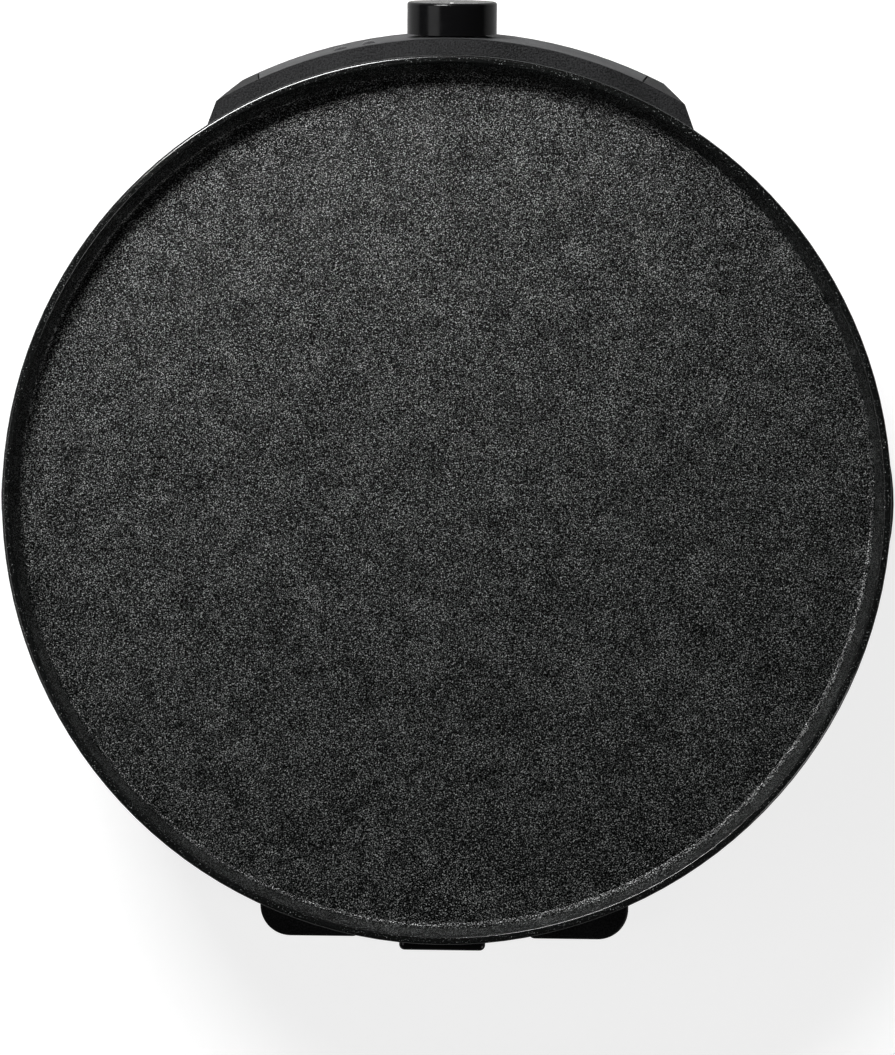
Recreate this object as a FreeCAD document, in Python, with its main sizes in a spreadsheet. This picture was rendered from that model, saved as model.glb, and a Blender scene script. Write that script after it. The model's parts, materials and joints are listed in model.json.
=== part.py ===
import FreeCAD, Part
import math
import os
import Sketcher

# Round electric griddle, in millimetres. +Z is up and the controls face -Y.
# The origin is the middle of the footprint, on the worktop. Every sub-part is drawn
# about the plate's own axis, which stands AXIS_Y behind the origin.

DRIVING_SIZES = [
    # cooking plate
    ("overall_height", 85.0),
    ("plate_radius", 165.0),
    ("tray_depth", 10.0),
    ("plate_floor", 4.0),
    ("rim_width", 2.8),
    ("tray_slope", 2.4),
    ("rim_round", 1.3),
    ("rim_inner_round", 0.4),
    ("plate_foot_round", 1.0),
    ("tray_round", 2.0),
    ("post_inset", 40.0),
    ("post_radius", 6.0),
    ("clamp_boss_radius", 5.0),
    # base shell and its bottom cover
    ("shell_gap", 1.0),
    ("plate_overhang", 3.0),
    ("shell_wall", 2.5),
    ("shell_bend_rise", 7.5),
    ("shell_base_inset", 10.0),
    ("flange_width", 14.0),
    ("gasket_width", 1.6),
    ("cover_top", 24.5),
    ("cover_thickness", 2.5),
    ("cover_boss_radius", 4.0),
    ("cover_boss_height", 9.0),
    ("vent_width", 4.0),
    ("vent_length", 26.0),
    ("inner_vent_radius", 40.0),
    ("outer_vent_radius", 82.0),
    # side grips
    ("grip_stand_out", 2.9),
    ("grip_radius", 80.0),
    ("grip_height", 12.0),
    ("grip_round", 1.0),
    # control cowl and panel
    ("cowl_stand_out", 8.3),
    ("panel_lean", 13.0),
    ("cheek_rim_angle", 34.2),
    ("cheek_slant", 19.8),
    ("panel_half_angle", 24.5),
    ("panel_thickness", 2.0),
    ("panel_gap", 0.3),
    ("panel_side_angle", 0.2),
    ("panel_sill", 4.0),
    ("panel_boss_angle", 20.0),
    ("panel_boss_radius", 3.0),
    ("panel_screw_head_radius", 3.9),
    # knob and thermostat
    ("knob_drop", 22.0),
    ("knob_radius", 17.2),
    ("knob_face", 12.7),
    ("knob_gap", 0.6),
    ("knob_wall", 2.2),
    ("knob_round", 1.1),
    ("hub_radius", 6.0),
    ("hub_rise", 0.6),
    ("pointer_width", 1.3),
    ("pointer_depth", 0.8),
    ("pointer_start", 7.5),
    ("pointer_margin", 0.2),
    ("clip_thickness", 0.7),
    ("clip_width", 2.0),
    ("clip_angle", 310.0),
    ("shaft_radius", 3.0),
    ("shaft_flat", 2.0),
    ("shaft_root", 3.0),
    ("running_gap", 0.05),
    ("bush_radius", 4.6),
    ("thermostat_half_width", 15.0),
    ("thermostat_half_height", 13.0),
    ("thermostat_depth", 22.0),
    ("thermostat_tag_side", 8.0),
    ("thermostat_tag_rise", 4.0),
    ("bracket_gap", 2.2),
    ("bracket_thickness", 1.2),
    ("bracket_half_height", 10.0),
    ("bracket_hole_offset", 19.0),
    ("bracket_boss_radius", 3.5),
    # indicator lights
    ("light_drop", 14.0),
    ("light_radius", 2.5),
    ("light_flange", 0.8),
    ("power_light_angle", 13.9),
    ("ready_light_angle", 10.3),
    ("lamp_setback", 9.0),
    ("lamp_length", 6.0),
    ("holder_half_width", 10.0),
    ("holder_half_height", 4.5),
    ("holder_thickness", 4.0),
    ("peg_radius", 1.6),
    # legs and feet
    ("leg_near_side", 33.0),
    ("leg_far_side", 72.5),
    ("leg_length", 61.5),
    ("leg_stand_out", 7.4),
    ("front_leg_inset", 3.0),
    ("leg_bottom", 4.0),
    ("leg_corner", 12.0),
    ("leg_small_corner", 3.0),
    ("leg_edge_round", 1.2),
    ("leg_screw_inset", 8.0),
    ("leg_screw_depth", 8.0),
    ("leg_boss_radius", 4.5),
    ("leg_boss_height", 8.0),
    ("foot_radius", 9.0),
    ("foot_inset", 17.0),
    ("foot_sink", 1.0),
    ("foot_stem_radius", 3.0),
    ("foot_stem_length", 9.0),
    # power inlet
    ("inlet_width", 32.8),
    ("inlet_height", 24.0),
    ("inlet_stand_out", 6.6),
    ("inlet_rise", 21.5),
    ("inlet_seat_inset", 12.5),
    ("inlet_flange", 7.0),
    ("inlet_flange_thickness", 2.0),
    ("inlet_boss_radius", 3.1),
    ("inlet_cut", 40.0),
    ("inlet_corner", 2.5),
    ("inlet_end_round", 2.0),
    ("socket_width", 24.2),
    ("socket_height", 16.2),
    ("socket_depth", 17.0),
    ("pin_length", 11.0),
    ("pin_tail", 10.0),
    ("pin_half_width", 2.0),
    ("pin_half_height", 1.0),
    ("pin_side", 7.0),
    ("pin_stagger", 2.0),
    # heating system
    ("element_ring_radius", 100.0),
    ("element_tube_radius", 3.3),
    ("element_gap_angle", 12.0),
    ("element_clearance", 0.1),
    ("element_end_drop", 12.0),
    ("element_hole_gap", 1.5),
    ("clamp_thickness", 1.5),
    ("clamp_half_width", 6.0),
    ("clamp_offset", 12.0),
    ("tag_half_width", 3.1),
    ("tag_thickness", 0.8),
    ("earth_tag_radius", 4.5),
    ("tag_length", 9.0),
    ("reflector_drop", 15.0),
    ("reflector_inset", 22.0),
    ("reflector_lip", 8.0),
    ("reflector_thickness", 0.8),
    ("bulb_radius", 2.0),
    ("bulb_length", 60.0),
    ("bulb_clip_thickness", 0.8),
    ("bulb_clip_foot", 6.0),
    ("capillary_radius", 0.75),
    ("fuse_radius", 2.0),
    ("fuse_length", 14.0),
    ("fuse_tail_radius", 0.5),
    ("fuse_tail", 6.0),
    ("sleeve_wall", 0.15),
    ("lead_radius", 1.3),
    # screws and fits
    ("screw_radius", 2.0),
    ("small_screw_radius", 1.4),
    ("small_head_radius", 2.7),
    ("small_head_height", 2.0),
    ("thread_gap", 0.05),
    ("fit_gap", 0.3),
]

AXIS = FreeCAD.Vector(0, 0, 1)
# Sketcher's number for a sketch's own origin.
ORIGIN_POINT = -1
# How near a measured place must be to the one that is looked for.
TOLERANCE = 1e-4
# How far joined shapes run into each other, and how far a cut starts outside what it cuts.
OVERLAP = 1
# A depth and a distance beyond everything that is to be cut.
THROUGH = 200
# The cowl's cheeks: where their straight lines start and end, counted from under the rim.
CHEEK_START = -3.5
CHEEK_END = 40.0
CHEEK_TRIM = 60.0
# The angle, each side of the front, that the cowl is trimmed over.
COWL_TRIM_ANGLE = 100
# The opening from the tub into the cowl: its angle and the wall left round it.
WINDOW_ANGLE = 44
WINDOW_MARGIN = 3
# The plate stands on four posts, at this angle and its three repeats.
POST_ANGLE = 45
POST_COUNT = 4
COVER_SCREW_ANGLES = (45, 90, 135, 225, 270, 315)
# The element is clamped at the front, the right and the left: (x, y) directions.
CLAMP_SIDES = ((0, -1), (1, 0), (-1, 0))
# How far inside the element's ring the sensing bulb and the fuse lie.
BULB_LINE = 38
FUSE_LINE = 30
# An arc of a lead takes at most this share of the runs beside it.
ARC_SHARE = 0.45
VOLUME_TOLERANCE = 0.01
# The clear space between a lead's end and the tag it is soldered to.
LEAD_GAP = 0.2
INNER_VENTS = 12
OUTER_VENTS = 24

doc = FreeCAD.newDocument("ElectricGriddle")
sheet = doc.addObject("Spreadsheet::Sheet", "Sizes")
sub_parts = []


# ---------------------------------------------------------------- sizes

class Size:
    """A length or angle together with the sheet formula that gives it."""

    def __init__(self, value, formula):
        self.value = float(value)
        self.formula = formula

    def __add__(self, other):
        other = as_size(other)
        return Size(self.value + other.value, f"({self.formula} + {other.formula})")

    def __sub__(self, other):
        other = as_size(other)
        return Size(self.value - other.value, f"({self.formula} - {other.formula})")

    def __mul__(self, other):
        other = as_size(other)
        return Size(self.value * other.value, f"({self.formula} * {other.formula})")

    def __truediv__(self, other):
        other = as_size(other)
        return Size(self.value / other.value, f"({self.formula} / {other.formula})")

    def __neg__(self):
        return Size(-self.value, f"(0 - {self.formula})")

    def __radd__(self, other):
        return as_size(other) + self

    def __rsub__(self, other):
        return as_size(other) - self

    def __rmul__(self, other):
        return as_size(other) * self


def as_size(number):
    if isinstance(number, Size):
        return number
    return Size(number, f"({float(number)!r})")


def sine(angle):
    angle = as_size(angle)
    return Size(math.sin(math.radians(angle.value)), f"sin({angle.formula})")


def cosine(angle):
    angle = as_size(angle)
    return Size(math.cos(math.radians(angle.value)), f"cos({angle.formula})")


def tangent(angle):
    angle = as_size(angle)
    return Size(math.tan(math.radians(angle.value)), f"tan({angle.formula})")


class Sizes:
    """The driving sizes of the sheet, one attribute per alias."""


def fill_sheet():
    sizes = Sizes()
    for row, (alias, value) in enumerate(DRIVING_SIZES, start=1):
        cell = f"A{row}"
        sheet.set(cell, str(value))
        sheet.setAlias(cell, alias)
        setattr(sizes, alias, Size(value, f"Sizes.{alias}"))
    doc.recompute()
    return sizes


dim = fill_sheet()

# the plate and what follows its edge
tray_floor_radius = dim.plate_radius - dim.rim_width - dim.tray_slope
shell_radius = dim.plate_radius - dim.plate_overhang
shell_inner_radius = shell_radius - dim.shell_wall
shell_base_radius = shell_radius - dim.shell_base_inset
cowl_top_radius = dim.plate_radius + dim.cowl_stand_out
grip_reach = dim.plate_radius + dim.grip_stand_out
leg_reach = dim.plate_radius + dim.leg_stand_out
front_leg_reach = dim.plate_radius - dim.front_leg_inset
leg_root = leg_reach - dim.leg_length
leg_screw_y = leg_root + dim.leg_screw_inset
leg_middle = (dim.leg_near_side + dim.leg_far_side) / 2
inlet_reach = dim.plate_radius + dim.inlet_stand_out
inlet_seat = shell_inner_radius - dim.inlet_seat_inset
socket_end = inlet_reach - dim.socket_depth
post_ring_radius = dim.plate_radius - dim.post_inset
reflector_radius = dim.plate_radius - dim.reflector_inset
clamp_screw_radius = dim.element_ring_radius + dim.clamp_offset
cowl_half_angle = dim.cheek_rim_angle + 1
# levels
floor_level = dim.overall_height - dim.tray_depth
plate_bottom = floor_level - dim.plate_floor
shell_top = plate_bottom - dim.shell_gap
cover_bottom = dim.cover_top - dim.cover_thickness
element_level = plate_bottom - dim.element_clearance - dim.element_tube_radius
clamp_top = element_level - dim.element_tube_radius
lip_bottom = shell_top - dim.shell_wall
panel_top = lip_bottom - dim.panel_gap
panel_foot = dim.cover_top + dim.panel_sill
shell_bend_level = dim.cover_top + dim.shell_bend_rise
knob_level = shell_top - dim.knob_drop
light_level = shell_top - dim.light_drop
inlet_level = dim.cover_top + dim.inlet_rise
reflector_level = plate_bottom - dim.reflector_drop
element_foot = reflector_level - dim.element_end_drop
leg_screw_level = dim.leg_bottom + dim.leg_screw_depth
post_x = post_ring_radius * cosine(POST_ANGLE)
bulb_level = plate_bottom - dim.element_clearance - dim.bulb_radius
fuse_level = plate_bottom - dim.element_clearance * 3 - dim.fuse_radius
fuse_line = dim.element_ring_radius - FUSE_LINE
earth_hole_y = clamp_screw_radius + 4
# the panel and what stands behind it, measured inward from the panel's outer face
panel_back = -dim.panel_thickness
wall_front = panel_back - dim.panel_gap
wall_back = wall_front - dim.shell_wall
bracket_front = wall_back - dim.bracket_gap
bracket_back = bracket_front - dim.bracket_thickness
lamp_holder_front = wall_back - dim.lamp_setback
knob_bore_end = dim.knob_face - dim.knob_wall
pointer_end = dim.knob_radius - dim.knob_round - dim.pointer_margin
thermostat_tag_length = as_size(6)
# screws and their holes
cover_screw_length = dim.cover_boss_height - 1.5
inlet_screw_depth = as_size(8)
clamp_screw_depth = as_size(5)
inlet_screw_x = dim.inlet_width / 2 + dim.inlet_flange / 2
screw_head_radius = dim.screw_radius * 2
screw_head_height = dim.screw_radius * 1.4
thread_radius = dim.screw_radius + dim.thread_gap
small_thread_radius = dim.small_screw_radius + dim.thread_gap
small_hole_radius = dim.small_screw_radius + dim.fit_gap


def cowl_radius(level):
    """Radius of the leaning control face at a height."""
    return cowl_top_radius + (shell_top - level) * tangent(dim.panel_lean)


knob_seat_radius = cowl_radius(knob_level)
light_seat_radius = cowl_radius(light_level)
front_reach = (knob_seat_radius + dim.knob_face * cosine(dim.panel_lean)
               + dim.knob_radius * sine(dim.panel_lean))
AXIS_Y = (front_reach - inlet_reach) / 2


# ---------------------------------------------------------------- drawing helpers

def placement_formula(x, y, z, yaw, roll):
    x, y, z = as_size(x), as_size(y), as_size(z)
    yaw, roll = as_size(yaw), as_size(roll)
    return (f"placement(vector({x.formula}; {y.formula}; {z.formula}); "
            f"rotation({yaw.formula}; 0; {roll.formula}))")


def new_body(name, radius=0, level=0, yaw=0, lean=None):
    """A body whose own origin lies on the plate axis or on the leaning control face.

    yaw turns it about the plate axis, away from the front. With a lean its own +Z
    points squarely out of the control face, and +Y runs up the face.
    """
    body = doc.addObject("PartDesign::Body", name)
    body.Label = name
    radius = as_size(radius)
    yaw = as_size(yaw)
    roll = as_size(0) if lean is None else 90 - lean
    formula = placement_formula(radius * sine(yaw), AXIS_Y - radius * cosine(yaw), level, yaw, roll)
    body.setExpression("Placement", formula)
    sub_parts.append(body)
    return body


def new_face_body(name, radius, level, yaw=0):
    """A body that stands on the leaning control face."""
    return new_body(name, radius, level, yaw, dim.panel_lean)


def origin_feature(body, role):
    return [feature for feature in body.Origin.OriginFeatures if feature.Role == role][0]


def new_sketch(body, plane, level=0, offset=None):
    """A sketch on one of the body's origin planes, raised by level or moved by a formula."""
    sketch = body.newObject("Sketcher::SketchObject", body.Name + "_sketch")
    sketch.AttachmentSupport = [(origin_feature(body, plane), "")]
    sketch.MapMode = "FlatFace"
    if offset is None:
        offset = placement_formula(0, 0, level, 0, 0)
    sketch.setExpression("AttachmentOffset", offset)
    return sketch


def hold(sketch, kind, index, point, size):
    """Ties a point's distance from the sketch origin to a size."""
    size = as_size(size)
    number = sketch.addConstraint(Sketcher.Constraint(kind, ORIGIN_POINT, 1, index, point, size.value))
    sketch.setExpression(f"Constraints[{number}]", size.formula)


def draw_polygon(sketch, corners):
    """A closed outline of straight lines; every corner is tied to the sheet."""
    corners = [(as_size(u), as_size(v)) for u, v in corners]
    first = sketch.GeometryCount
    count = len(corners)
    for index, (u, v) in enumerate(corners):
        next_u, next_v = corners[(index + 1) % count]
        start = FreeCAD.Vector(u.value, v.value, 0)
        end = FreeCAD.Vector(next_u.value, next_v.value, 0)
        sketch.addGeometry(Part.LineSegment(start, end), False)
    for index in range(count):
        following = first + (index + 1) % count
        sketch.addConstraint(Sketcher.Constraint("Coincident", first + index, 2, following, 1))
    for index, (u, v) in enumerate(corners):
        hold(sketch, "DistanceX", first + index, 1, u)
        hold(sketch, "DistanceY", first + index, 1, v)
    return sketch


def draw_rectangle(sketch, left, right, low, high):
    return draw_polygon(sketch, [(left, low), (right, low), (right, high), (left, high)])


def draw_circle(sketch, u, v, radius):
    u, v, radius = as_size(u), as_size(v), as_size(radius)
    circle = Part.Circle(FreeCAD.Vector(u.value, v.value, 0), AXIS, radius.value)
    index = sketch.addGeometry(circle, False)
    number = sketch.addConstraint(Sketcher.Constraint("Radius", index, radius.value))
    sketch.setExpression(f"Constraints[{number}]", radius.formula)
    hold(sketch, "DistanceX", index, 3, u)
    hold(sketch, "DistanceY", index, 3, v)
    return sketch


def draw_d_shape(sketch, radius, flat):
    """A circle about the origin with one side cut flat, for a shaft and its bore."""
    radius, flat = as_size(radius), as_size(flat)
    half = math.acos(flat.value / radius.value)
    circle = Part.Circle(FreeCAD.Vector(0, 0, 0), AXIS, radius.value)
    arc = sketch.addGeometry(Part.ArcOfCircle(circle, half, 2 * math.pi - half), False)
    rise = radius.value * math.sin(half)
    low = FreeCAD.Vector(flat.value, -rise, 0)
    high = FreeCAD.Vector(flat.value, rise, 0)
    line = sketch.addGeometry(Part.LineSegment(low, high), False)
    sketch.addConstraint(Sketcher.Constraint("Coincident", arc, 2, line, 1))
    sketch.addConstraint(Sketcher.Constraint("Coincident", line, 2, arc, 1))
    sketch.addConstraint(Sketcher.Constraint("Coincident", arc, 3, ORIGIN_POINT, 1))
    number = sketch.addConstraint(Sketcher.Constraint("Radius", arc, radius.value))
    sketch.setExpression(f"Constraints[{number}]", radius.formula)
    hold(sketch, "DistanceX", line, 1, flat)
    hold(sketch, "DistanceX", line, 2, flat)
    return sketch


def draw_slot(sketch, u, low, high, radius):
    """A slot with round ends, its length along V."""
    u, low, high, radius = as_size(u), as_size(low), as_size(high), as_size(radius)
    top = Part.Circle(FreeCAD.Vector(u.value, high.value, 0), AXIS, radius.value)
    bottom = Part.Circle(FreeCAD.Vector(u.value, low.value, 0), AXIS, radius.value)
    top_arc = sketch.addGeometry(Part.ArcOfCircle(top, 0, math.pi), False)
    bottom_arc = sketch.addGeometry(Part.ArcOfCircle(bottom, math.pi, 2 * math.pi), False)
    sides = []
    for side in (-1, 1):
        edge = u.value + side * radius.value
        start = FreeCAD.Vector(edge, low.value, 0)
        end = FreeCAD.Vector(edge, high.value, 0)
        sides.append(sketch.addGeometry(Part.LineSegment(start, end), False))
    left, right = sides
    sketch.addConstraint(Sketcher.Constraint("Tangent", left, 2, top_arc, 2))
    sketch.addConstraint(Sketcher.Constraint("Tangent", right, 2, top_arc, 1))
    sketch.addConstraint(Sketcher.Constraint("Tangent", left, 1, bottom_arc, 1))
    sketch.addConstraint(Sketcher.Constraint("Tangent", right, 1, bottom_arc, 2))
    number = sketch.addConstraint(Sketcher.Constraint("Radius", top_arc, radius.value))
    sketch.setExpression(f"Constraints[{number}]", radius.formula)
    hold(sketch, "DistanceX", top_arc, 3, u)
    hold(sketch, "DistanceY", top_arc, 3, high)
    hold(sketch, "DistanceX", bottom_arc, 3, u)
    hold(sketch, "DistanceY", bottom_arc, 3, low)
    return sketch


def new_feature(body, kind, sketch):
    feature = body.newObject("PartDesign::" + kind, body.Name + "_" + kind.lower())
    feature.Profile = sketch
    return feature


def bind(feature, name, size):
    size = as_size(size)
    setattr(feature, name, size.value)
    feature.setExpression(name, size.formula)


def pad(body, sketch, length, reverse=False, both_ways=False):
    feature = new_feature(body, "Pad", sketch)
    bind(feature, "Length", length)
    feature.Reversed = reverse
    if both_ways:
        feature.SideType = "Symmetric"
    return feature


def cut(body, sketch, length, reverse=False, both_ways=True):
    """A pocket; unless told otherwise it runs to both sides of its sketch."""
    feature = new_feature(body, "Pocket", sketch)
    bind(feature, "Length", length)
    feature.Reversed = reverse
    if both_ways:
        feature.SideType = "Symmetric"
    return feature


def turn(body, sketch, angle=360, kind="Revolution"):
    """A revolution or groove about the sketch's upright axis, even on both sides."""
    feature = new_feature(body, kind, sketch)
    feature.ReferenceAxis = (sketch, ["V_Axis"])
    bind(feature, "Angle", angle)
    feature.Midplane = True
    return feature


def repeat_round(body, features, count):
    """Repeats features about the plate axis."""
    pattern = body.newObject("PartDesign::PolarPattern", body.Name + "_pattern")
    pattern.Originals = features
    pattern.Axis = (origin_feature(body, "Z_Axis"), [""])
    pattern.Angle = 360
    pattern.Occurrences = count
    body.Tip = pattern
    return pattern


def mirror(body, features, plane):
    """Repeats features on the other side of one of the body's origin planes."""
    copy = body.newObject("PartDesign::Mirrored", body.Name + "_mirror")
    copy.Originals = features
    copy.MirrorPlane = (origin_feature(body, plane), [""])
    body.Tip = copy
    return copy


def round_edges(body, radius, chosen):
    """Fillets the edges of the body for which chosen(edge) is true."""
    doc.recompute()
    base = body.Tip
    names = [f"Edge{number}" for number, edge in enumerate(base.Shape.Edges, start=1) if chosen(edge)]
    if not names:
        raise RuntimeError(f"no edge to round on {body.Label}")
    feature = body.newObject("PartDesign::Fillet", body.Name + "_fillet")
    feature.Base = (base, names)
    bind(feature, "Radius", radius)
    return feature


def screw_pair(body, shank_sketch, head_sketch, places, shank_length, head_height, radii):
    """Shanks along the sketch's normal and heads the other way, at each (u, v) place."""
    shank_radius, head_radius = radii
    for u, v in places:
        draw_circle(shank_sketch, u, v, shank_radius)
        draw_circle(head_sketch, u, v, head_radius)
    pad(body, shank_sketch, shank_length)
    pad(body, head_sketch, head_height, reverse=True)


def is_circle(edge, radius, level):
    """True for an edge that runs round the body's own Z axis at a radius and level."""
    curve = edge.Curve
    if not isinstance(curve, Part.Circle):
        return False
    on_axis = math.hypot(curve.Center.x, curve.Center.y) < TOLERANCE
    right_size = abs(curve.Radius - as_size(radius).value) < TOLERANCE
    return on_axis and right_size and abs(curve.Center.z - as_size(level).value) < TOLERANCE


def round_circles(body, radius, places):
    """Fillets the circular edges at the given (radius, level) pairs."""
    return round_edges(body, radius, lambda edge: any(is_circle(edge, r, z) for r, z in places))


def is_upright_at(edge, u, v, direction=AXIS):
    """True for a straight edge along direction that passes at (u, v) across it."""
    if not isinstance(edge.Curve, Part.Line):
        return False
    if abs(abs(edge.Curve.Direction.dot(direction)) - 1) > TOLERANCE:
        return False
    middle = edge.CenterOfMass
    across = [middle.x, middle.y, middle.z]
    del across[[direction.x, direction.y, direction.z].index(1)]
    return abs(across[0] - as_size(u).value) < TOLERANCE and abs(across[1] - as_size(v).value) < TOLERANCE


# ---------------------------------------------------------------- cooking plate

def cooking_plate():
    body = new_body("cooking_plate")
    section = draw_polygon(new_sketch(body, "XZ_Plane"), [
        (0, plate_bottom),
        (dim.plate_radius, plate_bottom),
        (dim.plate_radius, dim.overall_height),
        (dim.plate_radius - dim.rim_width, dim.overall_height),
        (tray_floor_radius, floor_level),
        (0, floor_level),
    ])
    turn(body, section)
    post_top = plate_bottom - reflector_level
    post = draw_circle(new_sketch(body, "XY_Plane", plate_bottom), post_x, post_x, dim.post_radius)
    posts = pad(body, post, post_top - dim.reflector_thickness, reverse=True)
    thread = draw_circle(new_sketch(body, "XY_Plane", reflector_level), post_x, post_x, thread_radius)
    threads = cut(body, thread, post_top, reverse=True, both_ways=False)
    repeat_round(body, [posts, threads], POST_COUNT)
    boss_height = plate_bottom - clamp_top
    boss = new_sketch(body, "XY_Plane", plate_bottom)
    draw_circle(boss, 0, -clamp_screw_radius, dim.clamp_boss_radius)
    bosses = pad(body, boss, boss_height, reverse=True)
    hole = draw_circle(new_sketch(body, "XY_Plane", clamp_top), 0, -clamp_screw_radius, small_thread_radius)
    holes = cut(body, hole, boss_height, reverse=True, both_ways=False)
    repeat_round(body, [bosses, holes], POST_COUNT)
    round_circles(body, dim.rim_inner_round, [(dim.plate_radius - dim.rim_width, dim.overall_height)])
    round_circles(body, dim.rim_round, [(dim.plate_radius, dim.overall_height)])
    round_circles(body, dim.tray_round, [(tray_floor_radius, floor_level)])
    round_circles(body, dim.plate_foot_round, [(dim.plate_radius, plate_bottom)])


# ---------------------------------------------------------------- base shell

def cheek_point(along, out=0):
    """A point on the line of a cowl cheek, counted from under the plate's edge."""
    x = (dim.plate_radius * sine(dim.cheek_rim_angle) - along * sine(dim.cheek_slant)
         + out * cosine(dim.cheek_slant))
    y = (-dim.plate_radius * cosine(dim.cheek_rim_angle) - along * cosine(dim.cheek_slant)
         - out * sine(dim.cheek_slant))
    return x, y


def trim_cheeks(body):
    """Cuts off what lies outside the two straight sides of the control cowl."""
    outside = draw_polygon(new_sketch(body, "XY_Plane", dim.cover_top), [
        cheek_point(CHEEK_START), cheek_point(CHEEK_END),
        cheek_point(CHEEK_END, CHEEK_TRIM), cheek_point(CHEEK_START, CHEEK_TRIM),
    ])
    trimmed = cut(body, outside, THROUGH)
    mirror(body, [trimmed], "YZ_Plane")


def face_offset(yaw, radius, level, depth):
    """The formula of a sketch plane parallel to the control face at a yaw and depth."""
    yaw, radius, level, depth = as_size(yaw), as_size(radius), as_size(level), as_size(depth)
    out = radius + depth * cosine(dim.panel_lean)
    return placement_formula(out * sine(yaw), -out * cosine(yaw),
                             level + depth * sine(dim.panel_lean), yaw, 90 - dim.panel_lean)


def knob_plane(depth):
    return face_offset(0, knob_seat_radius, knob_level, depth)


def base_shell():
    body = new_body("base_shell")
    shell_tub(body)
    shell_grips(body)
    shell_cowl(body)
    shell_panel_seat(body)
    shell_bosses(body)
    shell_face_holes(body)
    shell_inlet_seat(body)
    pad(body, cover_screw_circles(body, dim.cover_top, dim.cover_boss_radius), dim.cover_boss_height)
    cut(body, cover_screw_circles(body, dim.cover_top, small_thread_radius), cover_screw_length * 2)


def shell_tub(body):
    """The round wall, tucked in at the foot, with an inward flange for the cover."""
    wall = dim.shell_wall
    flange_radius = shell_base_radius - dim.flange_width
    tub = draw_polygon(new_sketch(body, "XZ_Plane"), [
        (shell_radius, shell_top),
        (shell_radius, shell_bend_level),
        (shell_base_radius, dim.cover_top),
        (flange_radius, dim.cover_top),
        (flange_radius, dim.cover_top + wall),
        (shell_base_radius - wall * 0.4, dim.cover_top + wall),
        (shell_inner_radius, shell_bend_level + wall * 0.4),
        (shell_inner_radius, shell_top),
    ])
    turn(body, tub)


def shell_grips(body):
    """A gentle swell at each side, just under the rim, gives the fingers a hold."""
    swell = draw_circle(new_sketch(body, "XY_Plane", shell_top), grip_reach - dim.grip_radius, 0,
                        dim.grip_radius)
    swells = pad(body, swell, dim.grip_height, reverse=True)
    mirror(body, [swells], "YZ_Plane")
    inside = draw_rectangle(new_sketch(body, "XZ_Plane"), 0, shell_inner_radius,
                            shell_top - dim.grip_height - OVERLAP, shell_top + OVERLAP)
    turn(body, inside, kind="Groove")
    round_edges(body, dim.grip_round, lambda edge: (
        isinstance(edge.Curve, Part.Circle) and abs(edge.Curve.Radius - dim.grip_radius.value) < TOLERANCE))


def shell_cowl(body):
    """The control cowl: a top lip, a leaning front wall and two straight cheeks."""
    wall = dim.shell_wall
    thick = (dim.panel_thickness + dim.panel_gap + wall) / cosine(dim.panel_lean)
    cowl = draw_polygon(new_sketch(body, "YZ_Plane"), [
        (-shell_inner_radius - OVERLAP, shell_top),
        (-cowl_radius(shell_top), shell_top),
        (-cowl_radius(dim.cover_top), dim.cover_top),
        (thick - cowl_radius(dim.cover_top), dim.cover_top),
        (thick - cowl_radius(lip_bottom), lip_bottom),
        (-shell_inner_radius - OVERLAP, lip_bottom),
    ])
    turn(body, cowl, cowl_half_angle * 2)
    cheek = draw_polygon(new_sketch(body, "XY_Plane", dim.cover_top), [
        cheek_point(CHEEK_START), cheek_point(CHEEK_END),
        cheek_point(CHEEK_END, -wall), cheek_point(CHEEK_START, -wall),
    ])
    cheeks = pad(body, cheek, shell_top - dim.cover_top)
    mirror(body, [cheeks], "YZ_Plane")
    trim_cheeks(body)
    above = shell_top + OVERLAP
    below = dim.cover_top - OVERLAP
    beyond = cowl_radius(below) + CHEEK_TRIM
    outside = draw_polygon(new_sketch(body, "YZ_Plane"), [
        (-cowl_radius(above), above), (-beyond, above), (-beyond, below), (-cowl_radius(below), below),
    ])
    turn(body, outside, COWL_TRIM_ANGLE, "Groove")


def shell_panel_seat(body):
    """The recess that the panel lies in, and the way through from the tub into the cowl."""
    seat = (dim.panel_thickness + dim.panel_gap) / cosine(dim.panel_lean)
    sill = panel_foot - dim.panel_gap
    recess = draw_polygon(new_sketch(body, "YZ_Plane"), [
        (seat - cowl_radius(lip_bottom), lip_bottom), (-cowl_radius(lip_bottom) - OVERLAP, lip_bottom),
        (-cowl_radius(sill) - OVERLAP, sill), (seat - cowl_radius(sill), sill),
    ])
    turn(body, recess, (dim.panel_half_angle + dim.panel_side_angle) * 2, "Groove")
    window = draw_rectangle(new_sketch(body, "YZ_Plane"),
                            -shell_radius - WINDOW_MARGIN, -shell_base_radius + WINDOW_MARGIN,
                            dim.cover_top + dim.shell_wall * 1.2, lip_bottom - WINDOW_MARGIN)
    turn(body, window, WINDOW_ANGLE, "Groove")


def shell_bosses(body):
    """Bosses behind the wall for the thermostat bracket, and the peg of the lamp holder."""
    boss = new_sketch(body, "XY_Plane", offset=knob_plane(bracket_front))
    hole = new_sketch(body, "XY_Plane", offset=knob_plane(bracket_front))
    for side in (-1, 1):
        draw_circle(boss, dim.bracket_hole_offset * side, 0, dim.bracket_boss_radius)
        draw_circle(hole, dim.bracket_hole_offset * side, 0, small_thread_radius)
    pad(body, boss, dim.bracket_gap + OVERLAP)
    cut(body, hole, dim.bracket_gap + dim.shell_wall, reverse=True, both_ways=False)
    peg = new_sketch(body, "XY_Plane", offset=lamp_plane(lamp_holder_front - dim.holder_thickness / 2))
    draw_circle(peg, 0, 0, dim.peg_radius)
    pad(body, peg, wall_front - lamp_holder_front + dim.holder_thickness / 2 - OVERLAP)


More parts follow.
